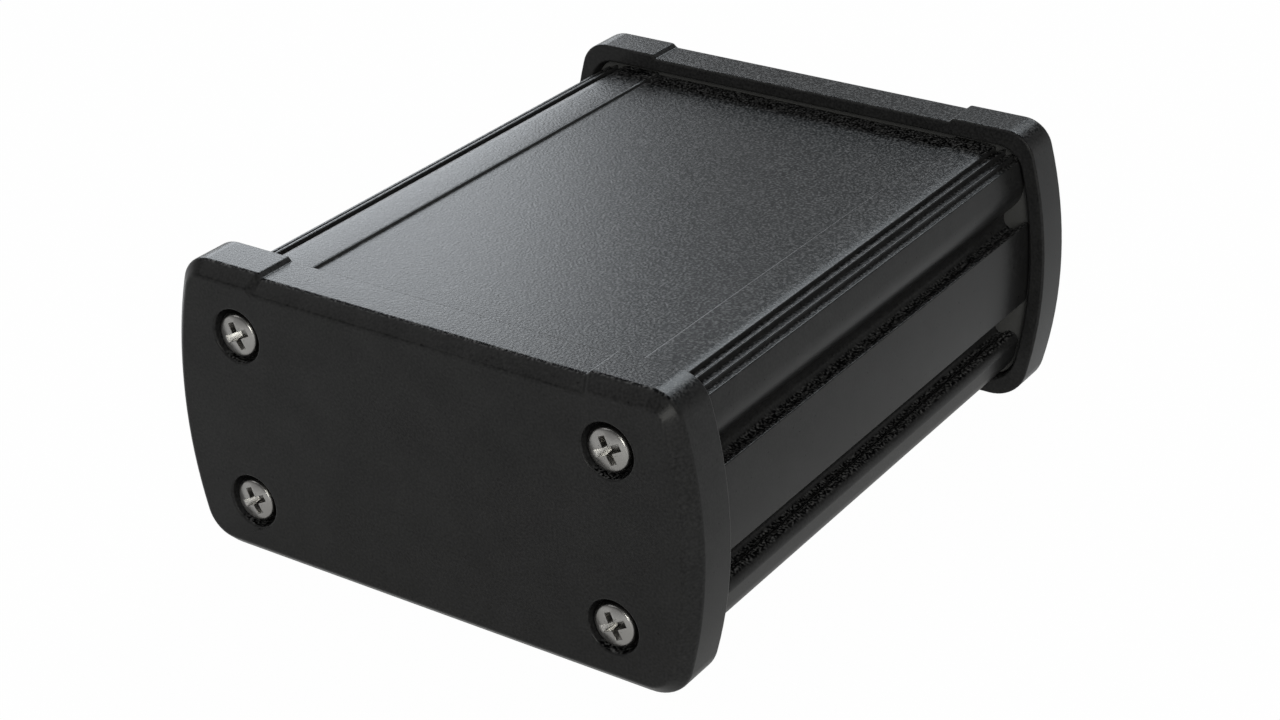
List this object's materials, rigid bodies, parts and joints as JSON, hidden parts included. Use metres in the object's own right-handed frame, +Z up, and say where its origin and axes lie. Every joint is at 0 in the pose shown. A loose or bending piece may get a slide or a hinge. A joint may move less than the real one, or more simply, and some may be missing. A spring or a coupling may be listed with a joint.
{
  "type": "extruded aluminium enclosure",
  "caption": "Black extruded aluminium enclosure with side channels, a stepped shoulder, a label recess and thick end plates held by recessed pan head screws.",
  "frame": {"origin": "under the middle of the box, on the surface that the end plates stand on", "axes": "+X across the box, +Y along the extrusion from the front plate to the rear plate, +Z up"},
  "size_m": [0.104, 0.127, 0.0535],
  "materials": {
    "body_anodised": "black anodised, satin",
    "plate_anodised": "black anodised, satin",
    "gasket_rubber": "matt",
    "screw_steel": "nickel plated, satin",
    "ring_rubber": "matt"
  },
  "bodies": {
    "root": {"body_extrusion": "body_anodised", "front_end_plate": "plate_anodised", "rear_end_plate": "plate_anodised", "front_gasket": "gasket_rubber", "rear_gasket": "gasket_rubber", "front_screw_top_left": "screw_steel", "front_screw_top_right": "screw_steel", "front_screw_bottom_left": "screw_steel", "front_screw_bottom_right": "screw_steel", "rear_screw_top_left": "screw_steel", "rear_screw_top_right": "screw_steel", "rear_screw_bottom_left": "screw_steel", "rear_screw_bottom_right": "screw_steel", "front_seal_ring_top_left": "ring_rubber", "front_seal_ring_top_right": "ring_rubber", "front_seal_ring_bottom_left": "ring_rubber", "front_seal_ring_bottom_right": "ring_rubber", "rear_seal_ring_top_left": "ring_rubber", "rear_seal_ring_top_right": "ring_rubber", "rear_seal_ring_bottom_left": "ring_rubber", "rear_seal_ring_bottom_right": "ring_rubber"}
  },
  "joints": []
}
